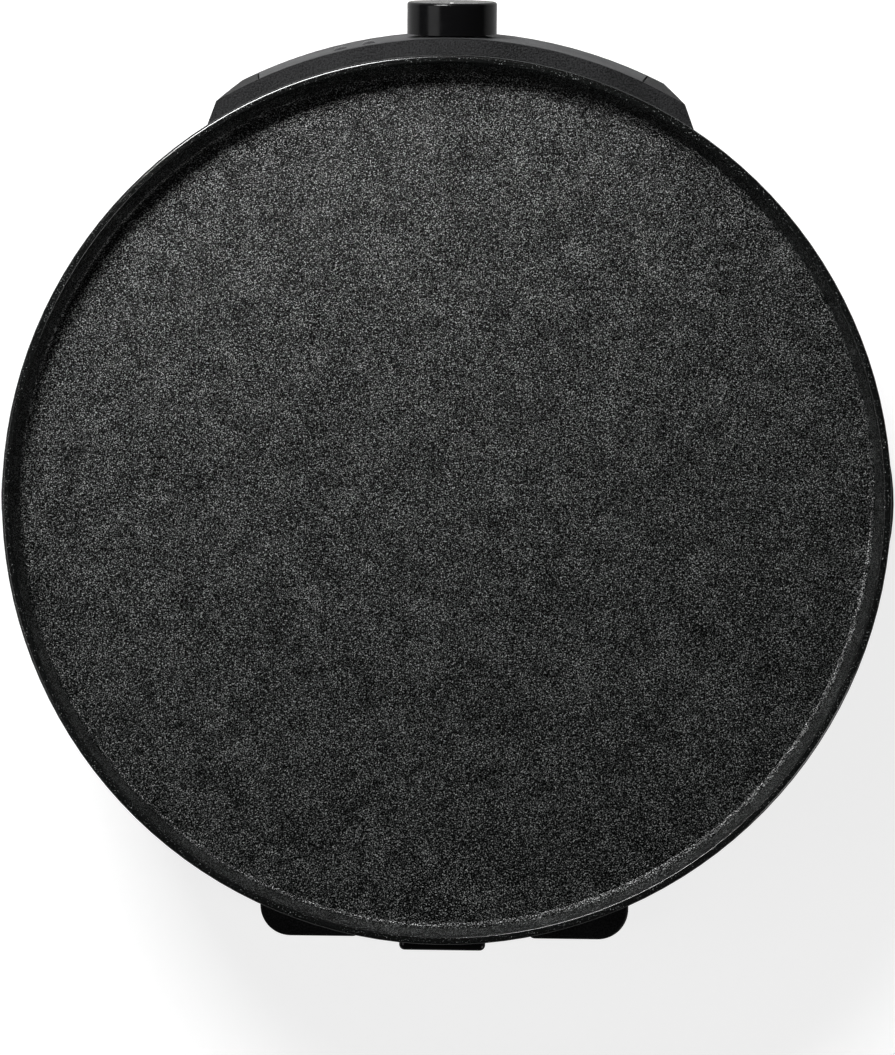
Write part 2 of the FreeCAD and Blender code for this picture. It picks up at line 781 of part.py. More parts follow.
def shell_face_holes(body):
    """The holes of the control face: the thermostat's bush, two lights and the panel's bosses."""
    openings = [
        (knob_plane(wall_front), dim.bush_radius + dim.fit_gap),
        (light_plane(dim.power_light_angle, wall_front), dim.light_radius + dim.fit_gap),
        (light_plane(dim.ready_light_angle, wall_front), dim.light_radius + dim.fit_gap),
        (panel_boss_plane(-1, wall_front), dim.panel_boss_radius + dim.fit_gap),
        (panel_boss_plane(1, wall_front), dim.panel_boss_radius + dim.fit_gap),
    ]
    for offset, radius in openings:
        hole = draw_circle(new_sketch(body, "XY_Plane", offset=offset), 0, 0, radius)
        cut(body, hole, dim.shell_wall * 4)


def shell_inlet_seat(body):
    """The opening for the power inlet, and the two bosses inside that it is screwed to."""
    bosses = new_sketch(body, "XZ_Plane", -inlet_seat)
    holes = new_sketch(body, "XZ_Plane", -inlet_seat)
    for side in (-1, 1):
        draw_circle(bosses, inlet_screw_x * side, inlet_level, dim.inlet_boss_radius)
        draw_circle(holes, inlet_screw_x * side, inlet_level, small_thread_radius)
    pad(body, bosses, shell_inner_radius - inlet_seat, reverse=True)
    cut(body, holes, inlet_screw_depth * 2)
    half_width = dim.inlet_width / 2 + dim.fit_gap
    half_height = dim.inlet_height / 2 + dim.fit_gap
    opening = draw_rectangle(new_sketch(body, "XZ_Plane", -shell_radius), -half_width, half_width,
                             inlet_level - half_height, inlet_level + half_height)
    cut(body, opening, dim.inlet_cut)


def cover_screw_circles(body, level, radius):
    """A sketch of the six places where the cover is screwed to the shell's flange."""
    ring = shell_base_radius - dim.flange_width / 2
    sketch = new_sketch(body, "XY_Plane", level)
    for yaw in COVER_SCREW_ANGLES:
        draw_circle(sketch, ring * sine(yaw), ring * cosine(yaw), radius)
    return sketch


def panel_boss_plane(side, depth):
    return face_offset(dim.panel_boss_angle * side, knob_seat_radius, knob_level, depth)


def light_plane(yaw, depth):
    return face_offset(yaw, light_seat_radius, light_level, depth)


def lamp_plane(depth):
    """Midway between the two lights."""
    return light_plane((dim.power_light_angle + dim.ready_light_angle) / 2, depth)


# ---------------------------------------------------------------- bottom cover

def bottom_cover():
    body = new_body("bottom_cover")
    disc = draw_circle(new_sketch(body, "XY_Plane", cover_bottom), 0, 0, shell_base_radius)
    pad(body, disc, dim.cover_thickness)
    tongue = draw_rectangle(new_sketch(body, "YZ_Plane"), -cowl_radius(dim.cover_top),
                            -shell_base_radius + OVERLAP * 5, cover_bottom, dim.cover_top)
    turn(body, tongue, cowl_half_angle * 2)
    trim_cheeks(body)

    # posts that carry the plate, with a counterbore below for each long screw
    post = draw_circle(new_sketch(body, "XY_Plane", dim.cover_top), post_x, post_x, dim.post_radius)
    posts = pad(body, post, reflector_level - dim.cover_top)
    bore = draw_circle(new_sketch(body, "XY_Plane", dim.cover_top), post_x, post_x,
                       dim.screw_radius + dim.fit_gap)
    bores = cut(body, bore, THROUGH)
    head = draw_circle(new_sketch(body, "XY_Plane", cover_bottom), post_x, post_x,
                       screw_head_radius + dim.fit_gap)
    heads = cut(body, head, (screw_head_height + OVERLAP) * 2)
    repeat_round(body, [posts, bores, heads], POST_COUNT)

    cut(body, cover_screw_circles(body, dim.cover_top, small_hole_radius), dim.cover_thickness * 4)
    for end in (-1, 1):
        leg_screw_bosses(body, end)
    for ring_radius, count in ((dim.inner_vent_radius, INNER_VENTS), (dim.outer_vent_radius, OUTER_VENTS)):
        slot = draw_slot(new_sketch(body, "XY_Plane", dim.cover_top), 0, ring_radius,
                         dim.vent_length - dim.vent_width + ring_radius, dim.vent_width / 2)
        repeat_round(body, [cut(body, slot, dim.cover_thickness * 4)], count)


def leg_screw_bosses(body, end):
    """The two bosses that take the leg screws, at the rear or at the front."""
    y = leg_screw_y * end
    boss = draw_circle(new_sketch(body, "XY_Plane", dim.cover_top), leg_middle, y, dim.leg_boss_radius)
    hole = draw_circle(new_sketch(body, "XY_Plane", cover_bottom), leg_middle, y, thread_radius)
    bosses = pad(body, boss, dim.leg_boss_height)
    holes = cut(body, hole, (dim.cover_thickness + dim.leg_boss_height - OVERLAP) * 2)
    mirror(body, [bosses, holes], "YZ_Plane")


# ---------------------------------------------------------------- control panel and its parts

def control_panel():
    body = new_body("control_panel")
    back = dim.panel_thickness / cosine(dim.panel_lean)
    section = draw_polygon(new_sketch(body, "YZ_Plane"), [
        (back - cowl_radius(panel_top), panel_top), (-cowl_radius(panel_top), panel_top),
        (-cowl_radius(panel_foot), panel_foot), (back - cowl_radius(panel_foot), panel_foot),
    ])
    turn(body, section, dim.panel_half_angle * 2)
    boss_start = panel_back / 2
    boss_end = wall_back + dim.fit_gap
    for side in (-1, 1):
        boss = new_sketch(body, "XY_Plane", offset=panel_boss_plane(side, boss_start))
        pad(body, draw_circle(boss, 0, 0, dim.panel_boss_radius), boss_start - boss_end, reverse=True)
        hole = new_sketch(body, "XY_Plane", offset=panel_boss_plane(side, wall_back))
        draw_circle(hole, 0, 0, small_thread_radius)
        cut(body, hole, panel_back - wall_back, reverse=True, both_ways=False)
    openings = [
        (knob_plane(0), dim.bush_radius + dim.fit_gap),
        (light_plane(dim.power_light_angle, 0), dim.light_radius + dim.element_clearance),
        (light_plane(dim.ready_light_angle, 0), dim.light_radius + dim.element_clearance),
    ]
    for offset, radius in openings:
        hole = draw_circle(new_sketch(body, "XY_Plane", offset=offset), 0, 0, radius)
        cut(body, hole, dim.panel_thickness * 3)


def panel_screws():
    """Two small screws that hold the panel from inside the cowl, one node."""
    body = new_body("panel_screws")
    for side in (-1, 1):
        seat = panel_boss_plane(side, wall_back - dim.fit_gap)
        screw_pair(body, new_sketch(body, "XY_Plane", offset=seat), new_sketch(body, "XY_Plane", offset=seat),
                   [(0, 0)], panel_back - wall_back, dim.small_head_height,
                   (dim.small_screw_radius, dim.panel_screw_head_radius))


def control_knob():
    body = new_face_body("control_knob", knob_seat_radius, knob_level)
    inner = dim.knob_radius - dim.knob_wall
    hub_end = dim.knob_gap + dim.hub_rise
    section = draw_polygon(new_sketch(body, "XZ_Plane"), [
        (0, dim.knob_face), (dim.knob_radius, dim.knob_face), (dim.knob_radius, dim.knob_gap),
        (inner, dim.knob_gap), (inner, knob_bore_end), (dim.hub_radius, knob_bore_end),
        (dim.hub_radius, hub_end), (0, hub_end),
    ])
    turn(body, section)
    bore = draw_d_shape(new_sketch(body, "XY_Plane", dim.knob_gap),
                        dim.shaft_radius + dim.running_gap, dim.shaft_flat + dim.running_gap)
    cut(body, bore, knob_bore_end - dim.knob_gap, reverse=True, both_ways=False)
    half = dim.pointer_width / 2 + dim.running_gap
    groove = draw_rectangle(new_sketch(body, "XY_Plane", dim.knob_face), -half, half,
                            dim.pointer_start - dim.running_gap, pointer_end + dim.running_gap)
    cut(body, groove, dim.pointer_depth, both_ways=False)
    round_circles(body, dim.knob_round, [(dim.knob_radius, dim.knob_face)])


def knob_pointer():
    """The pointer line, a strip let into the knob's face."""
    body = new_face_body("knob_pointer", knob_seat_radius, knob_level)
    strip = draw_rectangle(new_sketch(body, "XY_Plane", dim.knob_face - dim.pointer_depth),
                           -dim.pointer_width / 2, dim.pointer_width / 2, dim.pointer_start, pointer_end)
    pad(body, strip, dim.pointer_depth)


def knob_spring_clip():
    """A split spring ring that grips the knob's hub on the shaft."""
    body = new_face_body("knob_spring_clip", knob_seat_radius, knob_level)
    inner = dim.hub_radius + dim.running_gap
    start = dim.knob_gap + dim.hub_rise * 2
    section = draw_rectangle(new_sketch(body, "XZ_Plane"), inner, inner + dim.clip_thickness,
                             start, start + dim.clip_width)
    turn(body, section, dim.clip_angle)


def thermostat_shaft():
    body = new_face_body("thermostat_shaft", knob_seat_radius, knob_level)
    start = bracket_back - dim.shaft_root
    round_part = draw_circle(new_sketch(body, "XY_Plane", start), 0, 0, dim.shaft_radius)
    pad(body, round_part, dim.knob_gap - start)
    d_part = draw_d_shape(new_sketch(body, "XY_Plane", dim.knob_gap), dim.shaft_radius, dim.shaft_flat)
    pad(body, d_part, knob_bore_end - dim.knob_gap - dim.fit_gap)


def thermostat_body():
    body = new_face_body("thermostat_body", knob_seat_radius, knob_level)
    case = draw_rectangle(new_sketch(body, "XY_Plane", bracket_back),
                          -dim.thermostat_half_width, dim.thermostat_half_width,
                          -dim.thermostat_half_height, dim.thermostat_half_height)
    pad(body, case, dim.thermostat_depth, reverse=True)
    bush = draw_circle(new_sketch(body, "XY_Plane", bracket_back), 0, 0, dim.bush_radius)
    pad(body, bush, dim.knob_gap - dim.hub_rise - bracket_back)
    bore_start = bracket_back - dim.shaft_root - dim.fit_gap
    bore = draw_circle(new_sketch(body, "XY_Plane", bore_start), 0, 0, dim.shaft_radius + dim.running_gap)
    cut(body, bore, dim.knob_gap - bore_start, reverse=True, both_ways=False)
    tags = new_sketch(body, "XY_Plane", bracket_back - dim.thermostat_depth)
    for side in (-1, 1):
        middle = dim.thermostat_tag_side * side
        draw_rectangle(tags, middle - dim.tag_half_width, middle + dim.tag_half_width,
                       dim.thermostat_tag_rise - dim.tag_thickness / 2,
                       dim.thermostat_tag_rise + dim.tag_thickness / 2)
    pad(body, tags, thermostat_tag_length, reverse=True)


def thermostat_bracket():
    body = new_face_body("thermostat_bracket", knob_seat_radius, knob_level)
    reach = dim.bracket_hole_offset + dim.bracket_boss_radius
    plate = new_sketch(body, "XY_Plane", bracket_back)
    draw_rectangle(plate, -reach, reach, -dim.bracket_half_height, dim.bracket_half_height)
    draw_circle(plate, 0, 0, dim.bush_radius + dim.fit_gap)
    for side in (-1, 1):
        draw_circle(plate, dim.bracket_hole_offset * side, 0, small_hole_radius)
    pad(body, plate, dim.bracket_thickness)


def thermostat_screws():
    body = new_face_body("thermostat_screws", knob_seat_radius, knob_level)
    screw_pair(body, new_sketch(body, "XY_Plane", bracket_back), new_sketch(body, "XY_Plane", bracket_back),
               [(-dim.bracket_hole_offset, 0), (dim.bracket_hole_offset, 0)],
               dim.bracket_thickness + dim.bracket_gap, dim.small_head_height,
               (dim.small_screw_radius, dim.small_head_radius))


def light_lens(name, yaw):
    """A domed lens pushed through the panel, with a flange behind the wall."""
    body = new_face_body(name, light_seat_radius, light_level, yaw)
    flange_radius = dim.light_radius + dim.light_flange
    flange_front = wall_back - dim.fit_gap
    flange_back = flange_front - dim.light_flange * 2
    dome_radius = dim.light_radius - dim.light_flange
    section = draw_polygon(new_sketch(body, "XZ_Plane"), [
        (0, flange_back), (flange_radius, flange_back), (flange_radius, flange_front),
        (dim.light_radius, flange_front), (dim.light_radius, dim.light_flange / 4),
        (dome_radius, dim.light_flange), (0, dim.light_flange * 1.2),
    ])
    turn(body, section)


def indicator_lamps():
    """The two small glow lamps behind the lenses, one node."""
    body = new_body("indicator_lamps")
    for yaw in (dim.power_light_angle, dim.ready_light_angle):
        sketch = new_sketch(body, "XY_Plane", offset=light_plane(yaw, lamp_holder_front + dim.fit_gap))
        pad(body, draw_circle(sketch, 0, 0, dim.light_radius - dim.light_flange), dim.lamp_length)


def lamp_holder():
    body = new_body("lamp_holder")
    plane = lamp_plane(lamp_holder_front)
    block = draw_rectangle(new_sketch(body, "XY_Plane", offset=plane),
                           -dim.holder_half_width, dim.holder_half_width,
                           -dim.holder_half_height, dim.holder_half_height)
    pad(body, block, dim.holder_thickness, reverse=True)
    hole = new_sketch(body, "XY_Plane", offset=plane)
    draw_circle(hole, 0, 0, dim.peg_radius + dim.element_clearance)
    cut(body, hole, dim.holder_thickness + dim.lamp_length / 3)


# ---------------------------------------------------------------- legs and feet

def leg(name, side, end, reach):
    """A moulded leg screwed under the cover; its outer corner is well rounded."""
    body = new_body(name)
    near, far = dim.leg_near_side * side, dim.leg_far_side * side
    root, tip = leg_root * end, reach * end
    outline = draw_rectangle(new_sketch(body, "XY_Plane", dim.leg_bottom), near, far, root, tip)
    pad(body, outline, cover_bottom - dim.leg_bottom)
    x = leg_middle * side
    screw_y = leg_screw_y * end
    foot_y = (reach - dim.foot_inset) * end
    recesses = [
        (screw_y, dim.screw_radius + dim.fit_gap, as_size(THROUGH)),
        (screw_y, screw_head_radius + dim.fit_gap, dim.leg_screw_depth * 2),
        (foot_y, dim.foot_radius + dim.fit_gap, dim.foot_sink * 2),
        (foot_y, dim.foot_stem_radius + dim.fit_gap, (dim.foot_stem_length + OVERLAP) * 2),
    ]
    for y, radius, depth in recesses:
        cut(body, draw_circle(new_sketch(body, "XY_Plane", dim.leg_bottom), x, y, radius), depth)
    round_edges(body, dim.leg_corner, lambda edge: is_upright_at(edge, far, tip))
    for u, v in ((near, tip), (near, root), (far, root)):
        round_edges(body, dim.leg_small_corner, lambda edge, u=u, v=v: is_upright_at(edge, u, v))
    round_edges(body, dim.leg_edge_round, lambda edge: is_leg_tip(edge, tip))


def is_leg_tip(edge, tip):
    """True for a straight edge across the outer end of a leg."""
    if not isinstance(edge.Curve, Part.Line) or edge.BoundBox.ZLength > TOLERANCE:
        return False
    middle = edge.CenterOfMass
    return abs(middle.y - tip.value) < TOLERANCE


def rubber_foot(name, side, end, reach):
    body = new_body(name)
    x = leg_middle * side
    y = (reach - dim.foot_inset) * end
    disc = draw_circle(new_sketch(body, "XY_Plane"), x, y, dim.foot_radius)
    pad(body, disc, dim.leg_bottom + dim.foot_sink)
    stem = draw_circle(new_sketch(body, "XY_Plane", dim.leg_bottom), x, y, dim.foot_stem_radius)
    pad(body, stem, dim.foot_stem_length)
    round_edges(body, dim.foot_sink, lambda edge: (
        edge.BoundBox.ZMax < TOLERANCE and isinstance(edge.Curve, Part.Circle)))


def leg_screws():
    body = new_body("leg_screws")
    places = [(leg_middle * side, leg_screw_y * end) for side in (-1, 1) for end in (-1, 1)]
    shank_end = dim.cover_top + dim.leg_boss_height - OVERLAP * 2
    screw_pair(body, new_sketch(body, "XY_Plane", leg_screw_level),
               new_sketch(body, "XY_Plane", leg_screw_level), places,
               shank_end - leg_screw_level, screw_head_height, (dim.screw_radius, screw_head_radius))


# ---------------------------------------------------------------- power inlet

def inlet_housing():
    """The rear socket: a nose through the shell wall, and a flange inside it."""
    body = new_body("inlet_housing")
    half_width, half_height = dim.inlet_width / 2, dim.inlet_height / 2
    low, high = inlet_level - half_height, inlet_level + half_height
    nose = draw_rectangle(new_sketch(body, "XZ_Plane", -inlet_seat), -half_width, half_width, low, high)
    pad(body, nose, inlet_reach - inlet_seat, reverse=True)
    flange = draw_rectangle(new_sketch(body, "XZ_Plane", -inlet_seat), -half_width - dim.inlet_flange,
                            half_width + dim.inlet_flange, low, high)
    pad(body, flange, dim.inlet_flange_thickness)
    mouth = draw_rectangle(new_sketch(body, "XZ_Plane", -inlet_reach),
                           -dim.socket_width / 2, dim.socket_width / 2,
                           inlet_level - dim.socket_height / 2, inlet_level + dim.socket_height / 2)
    cut(body, mouth, dim.socket_depth * 2)
    holes = new_sketch(body, "XZ_Plane", -inlet_seat)
    for side in (-1, 1):
        draw_circle(holes, inlet_screw_x * side, inlet_level, small_hole_radius)
    cut(body, holes, dim.inlet_flange_thickness * 4)
    slots = new_sketch(body, "XZ_Plane", -inlet_seat)
    draw_pins(slots, dim.element_clearance)
    cut(body, slots, dim.socket_depth * 4)
    along = FreeCAD.Vector(0, 1, 0)
    for side in (-1, 1):
        for level in (low, high):
            round_edges(body, dim.inlet_corner, lambda edge: (
                is_upright_at(edge, half_width * side, level, along)
                and edge.BoundBox.YMax > inlet_seat.value + OVERLAP))
    round_edges(body, dim.inlet_end_round, lambda edge: is_nose_end(edge, half_width))


def is_nose_end(edge, half_width):
    """True for the upright straight edges at the outer end of the inlet's nose."""
    if not isinstance(edge.Curve, Part.Line) or edge.BoundBox.YLength > TOLERANCE:
        return False
    middle = edge.CenterOfMass
    at_end = abs(middle.y - inlet_reach.value) < TOLERANCE
    return at_end and abs(abs(middle.x) - half_width.value) < TOLERANCE


def pin_places():
    """Live, neutral and earth."""
    low, high = inlet_level - dim.pin_stagger, inlet_level + dim.pin_stagger
    return [(-dim.pin_side, low), (dim.pin_side, low), (as_size(0), high)]


def draw_pins(sketch, gap):
    """The three blades' sections, each widened by a gap."""
    half_width = dim.pin_half_width + gap
    half_height = dim.pin_half_height + gap
    for x, z in pin_places():
        draw_rectangle(sketch, x - half_width, x + half_width, z - half_height, z + half_height)


def inlet_pins():
    """Three flat contact blades, one node."""
    body = new_body("inlet_pins")
    blades = new_sketch(body, "XZ_Plane", -(socket_end + dim.pin_length))
    draw_pins(blades, 0)
    pad(body, blades, dim.pin_length + socket_end - inlet_seat + dim.pin_tail)


def inlet_screws():
    body = new_body("inlet_screws")
    seat = -inlet_seat + dim.inlet_flange_thickness
    heads = new_sketch(body, "XZ_Plane", seat)
    shanks = new_sketch(body, "XZ_Plane", seat)
    for side in (-1, 1):
        draw_circle(shanks, inlet_screw_x * side, inlet_level, dim.small_screw_radius)
        draw_circle(heads, inlet_screw_x * side, inlet_level, dim.small_head_radius)
    pad(body, shanks, inlet_screw_depth - OVERLAP, reverse=True)
    pad(body, heads, dim.small_head_height)


# ---------------------------------------------------------------- heating system

def element_end_place(side):
    """Where one cold end of the element stands, seen from above."""
    x = dim.element_ring_radius * sine(dim.element_gap_angle) * side
    return x, dim.element_ring_radius * cosine(dim.element_gap_angle)


def heating_element():
    """A tubular ring under the plate; both cold ends turn down through the reflector."""
    half = 180 - dim.element_gap_angle
    ring = doc.addObject("Part::Torus", "element_ring")
    bind(ring, "Radius1", dim.element_ring_radius)
    bind(ring, "Radius2", dim.element_tube_radius)
    bind(ring, "Angle3", half * 2)
    ring.setExpression("Placement", placement_formula(0, 0, element_level, -90 - half, 0))
    pieces = [ring]
    for side in (-1, 1):
        x, y = element_end_place(side)
        bend = doc.addObject("Part::Sphere", "element_bend")
        bind(bend, "Radius", dim.element_tube_radius)
        bend.setExpression("Placement", placement_formula(x, y, element_level, 0, 0))
        end = doc.addObject("Part::Cylinder", "element_end")
        bind(end, "Radius", dim.element_tube_radius)
        bind(end, "Height", element_level - element_foot)
        end.setExpression("Placement", placement_formula(x, y, element_foot, 0, 0))
        pieces += [bend, end]
    fused = doc.addObject("Part::MultiFuse", "heating_element")
    fused.Label = "heating_element"
    fused.Shapes = pieces
    fused.setExpression("Placement", placement_formula(0, AXIS_Y, 0, 0, 0))
    sub_parts.append(fused)


def element_terminals():
    """The spade tags at the element's two cold ends, one node."""
    body = new_body("element_terminals")
    for side in (-1, 1):
        x, y = element_end_place(side)
        tag = draw_rectangle(new_sketch(body, "XY_Plane", element_foot),
                             x - dim.tag_half_width, x + dim.tag_half_width,
                             y - dim.tag_thickness / 2, y + dim.tag_thickness / 2)
        pad(body, tag, dim.tag_length, reverse=True)


def element_clamps():
    """Three flat bars that press the element against the plate, one node."""
    body = new_body("element_clamps")
    inner = dim.element_ring_radius - dim.element_tube_radius - dim.clamp_half_width
    outer = clamp_screw_radius + dim.clamp_half_width
    half = dim.clamp_half_width
    for side_x, side_y in CLAMP_SIDES:
        bar = new_sketch(body, "XY_Plane", clamp_top)
        if side_x:
            draw_rectangle(bar, inner * side_x, outer * side_x, -half, half)
        else:
            draw_rectangle(bar, -half, half, inner * side_y, outer * side_y)
        draw_circle(bar, clamp_screw_radius * side_x, clamp_screw_radius * side_y, small_hole_radius)
        pad(body, bar, dim.clamp_thickness, reverse=True)


def clamp_screws():
    body = new_body("clamp_screws")
    under = clamp_top - dim.clamp_thickness
    places = [(clamp_screw_radius * x, clamp_screw_radius * y) for x, y in CLAMP_SIDES]
    screw_pair(body, new_sketch(body, "XY_Plane", under), new_sketch(body, "XY_Plane", under),
               places, dim.clamp_thickness + clamp_screw_depth, dim.small_head_height,
               (dim.small_screw_radius, dim.small_head_radius))


def heat_reflector():
    """A shallow bright dish held between the cover's posts and the plate's."""
    body = new_body("heat_reflector")
    thick = dim.reflector_thickness
    lip_top = reflector_level + dim.reflector_lip
    section = draw_polygon(new_sketch(body, "XZ_Plane"), [
        (0, reflector_level), (reflector_radius, reflector_level), (reflector_radius, lip_top),
        (reflector_radius - thick, lip_top), (reflector_radius - thick, reflector_level + thick),
        (0, reflector_level + thick),
    ])
    turn(body, section)
    holes = new_sketch(body, "XY_Plane", reflector_level)
    for side in (-1, 1):
        for end in (-1, 1):
            draw_circle(holes, post_x * side, post_x * end, dim.screw_radius + dim.fit_gap)
        end_x, end_y = element_end_place(side)
        draw_circle(holes, end_x, end_y, dim.element_tube_radius + dim.element_hole_gap)
    tube_x, tube_y, _ = bulb_end()
    draw_circle(holes, tube_x, tube_y, dim.capillary_radius * 4)
    draw_circle(holes, 0, earth_hole_y, dim.lead_radius * 4)
    cut(body, holes, thick * 5)


def plate_screws():
    """Four long screws from below the cover into the plate, one node."""
    body = new_body("plate_screws")
    seat = cover_bottom + screw_head_height + OVERLAP
    head = draw_circle(new_sketch(body, "XY_Plane", seat), post_x, post_x, screw_head_radius)
    heads = pad(body, head, screw_head_height, reverse=True)
    shank = draw_circle(new_sketch(body, "XY_Plane", seat), post_x, post_x, dim.screw_radius)
    shanks = pad(body, shank, plate_bottom - OVERLAP - seat)
    repeat_round(body, [heads, shanks], POST_COUNT)


def cover_screws():
    body = new_body("cover_screws")
    pad(body, cover_screw_circles(body, cover_bottom, dim.small_head_radius), dim.small_head_height * 0.8,
        reverse=True)
    pad(body, cover_screw_circles(body, cover_bottom, dim.small_screw_radius),
        dim.cover_thickness + cover_screw_length - OVERLAP * 2.5)


def plate_gasket():
    """A heat-proof ring between the plate and the top of the shell."""
    body = new_body("plate_gasket")
    middle = shell_radius - dim.shell_wall / 2
    half = dim.gasket_width / 2
    section = draw_rectangle(new_sketch(body, "XZ_Plane"), middle - half, middle + half,
                             shell_top, plate_bottom)
    turn(body, section)


# ---------------------------------------------------------------- sensing bulb, fuse and leads

def bulb_place():
    """The outer end of the sensing bulb's axis."""
    return dim.bulb_length / 2 + 4, BULB_LINE - dim.element_ring_radius, bulb_level


def bulb_end():
    """Where the capillary tube turns down from the bulb."""
    x, y, z = bulb_place()
    return x - dim.bulb_length - dim.bulb_radius * 3, y, z


def sensing_bulb():
    body = new_body("sensing_bulb")
    x, y, z = bulb_place()
    rod = draw_circle(new_sketch(body, "YZ_Plane", x), y, z, dim.bulb_radius)
    pad(body, rod, dim.bulb_length, reverse=True)


def bulb_clip():
    """A folded strip that holds the bulb against the plate."""
    body = new_body("bulb_clip")
    x, y, z = bulb_place()
    strip = dim.bulb_clip_thickness
    foot = dim.bulb_clip_foot
    reach = dim.bulb_radius + dim.element_clearance
    low = z - reach
    top = plate_bottom
    section = draw_polygon(new_sketch(body, "YZ_Plane", x - dim.bulb_length / 2), [
        (y - reach - foot, top - strip), (y - reach - strip, top - strip), (y - reach - strip, low - strip),
        (y + reach + strip, low - strip), (y + reach + strip, top - strip), (y + reach + foot, top - strip),
        (y + reach + foot, top), (y + reach, top), (y + reach, low), (y - reach, low), (y - reach, top),
        (y - reach - foot, top),
    ])
    pad(body, section, foot * 2, both_ways=True)


def thermal_fuse():
    body = new_body("thermal_fuse")
    half = dim.fuse_length / 2
    can = draw_circle(new_sketch(body, "YZ_Plane", half), fuse_line, fuse_level, dim.fuse_radius)
    pad(body, can, dim.fuse_length, reverse=True)
    tails = new_sketch(body, "YZ_Plane", half + dim.fuse_tail)
    draw_circle(tails, fuse_line, fuse_level, dim.fuse_tail_radius)
    pad(body, tails, dim.fuse_length + dim.fuse_tail * 2, reverse=True)


def fuse_sleeve():
    """A glass-fibre sleeve between the fuse and the plate."""
    body = new_body("fuse_sleeve")
    inner = dim.fuse_radius + dim.running_gap
    half = dim.fuse_length / 2 - dim.running_gap * 10
    sleeve = new_sketch(body, "YZ_Plane", half)
    draw_circle(sleeve, fuse_line, fuse_level, inner + dim.sleeve_wall)
    draw_circle(sleeve, fuse_line, fuse_level, inner)
    pad(body, sleeve, half * 2, reverse=True)


def rounded_route(points, bend):
    """Straight runs through the points, joined by tangent arcs no larger than bend."""
    edges = []
    start = points[0]
    for before, corner, after in zip(points, points[1:], points[2:]):
        into = (corner - before).normalize()
        out = (after - corner).normalize()
        half_turn = into.getAngle(out) / 2
        room = ARC_SHARE * min((corner - before).Length, (after - corner).Length)
        back = min(bend * math.tan(half_turn), room)
        arc_start = corner - into * back
        arc_end = corner + out * back
        radius = back / math.tan(half_turn)
        middle_line = (out - into).normalize()
        centre_distance = radius / math.cos(half_turn)
        arc_middle = corner + middle_line * (centre_distance - radius)
        edges.append(Part.LineSegment(start, arc_start).toShape())
        edges.append(Part.Arc(arc_start, arc_middle, arc_end).toShape())
        start = arc_end
    edges.append(Part.LineSegment(start, points[-1]).toShape())
    return Part.Wire(edges)


def lead(name, route, radius, bend):
    """A wire or tube that is held inside the griddle all along its route."""
    points = [FreeCAD.Vector(*(as_size(value).value for value in point)) for point in route]
    path = rounded_route(points, bend)
    heading = (points[1] - points[0]).normalize()
    ring = Part.Wire(Part.Circle(points[0], heading, as_size(radius).value).toShape())
    feature = doc.addObject("Part::Feature", name)
    feature.Label = name
    feature.Shape = path.makePipeShell([ring], True, True)
    feature.Placement = FreeCAD.Placement(FreeCAD.Vector(0, AXIS_Y.value, 0), FreeCAD.Rotation())
    expected = math.pi * as_size(radius).value ** 2 * path.Length
    if abs(feature.Shape.Volume / expected - 1) > VOLUME_TOLERANCE:
        raise RuntimeError(f"{name} has the wrong volume")
    sub_parts.append(feature)
    return feature


def thermostat_tag(side):
    """Just beyond the inner end of a thermostat tag."""
    back = bracket_back - dim.thermostat_depth - thermostat_tag_length - LEAD_GAP
    rise = dim.thermostat_tag_rise
    y = -(knob_seat_radius + back * cosine(dim.panel_lean)) + rise * sine(dim.panel_lean)
    z = knob_level + back * sine(dim.panel_lean) + rise * cosine(dim.panel_lean)
    return dim.thermostat_tag_side * side, y, z


def leads():
    """The routes' end points follow what they join; the points between are placed by eye."""
    pin_y = inlet_seat - dim.pin_tail - LEAD_GAP
    (live_x, live_z), (neutral_x, neutral_z), (earth_x, earth_z) = pin_places()
    live_tag, load_tag = thermostat_tag(-1), thermostat_tag(1)
    level = dim.cover_top + 12
    tag_foot = element_foot - dim.tag_length - LEAD_GAP
    left_x, end_y = element_end_place(-1)
    right_x = element_end_place(1)[0]
    lead("live_lead", [
        (live_x, pin_y, live_z), (live_x, pin_y - 14, live_z), (live_x - 36, pin_y - 34, level + 2),
        (live_x - 40, 0, level), (live_x - 10, live_tag[1] + 33, level),
        (live_tag[0], live_tag[1] + 14, live_tag[2] + 1), live_tag,
    ], dim.lead_radius, 14)
    lead("neutral_lead", [
        (neutral_x, pin_y, neutral_z), (neutral_x, pin_y - 12, neutral_z),
        (right_x + 6, end_y + 16, level - 3), (right_x, end_y, tag_foot - 8), (right_x, end_y, tag_foot),
    ], dim.lead_radius, 8)
    lead("load_lead", [
        load_tag, (load_tag[0], load_tag[1] + 14, load_tag[2] + 1),
        (load_tag[0] + 6, load_tag[1] + 53, level), (-8, 20, level - 2), (left_x, end_y - 22, level - 6),
        (left_x, end_y, tag_foot - 8), (left_x, end_y, tag_foot),
    ], dim.lead_radius, 10)
    lead("earth_lead", [
        (earth_x, pin_y, earth_z), (earth_x, pin_y - 12, earth_z), (earth_x, pin_y - 22, level + 9),
        (earth_x + 0.8, earth_hole_y + 6, reflector_level - 4), (earth_x, clamp_screw_radius, clamp_top - 5),
        (earth_x, clamp_screw_radius, clamp_top - dim.small_head_height - 0.4),
    ], dim.lead_radius, 5)
    x, y, z = bulb_place()
    tube_x, tube_y, _ = bulb_end()
    bulb_gap = dim.running_gap
    lead("capillary_tube", [
        (x - dim.bulb_length - bulb_gap, y, z), (tube_x, tube_y, z), (tube_x, tube_y, level + 4),
        (tube_x + 8, tube_y - 42, level + 2), (-10, live_tag[1] + 11, level + 4),
        (-5, live_tag[1] - 5.5, level + 3),
    ], dim.capillary_radius, 5)


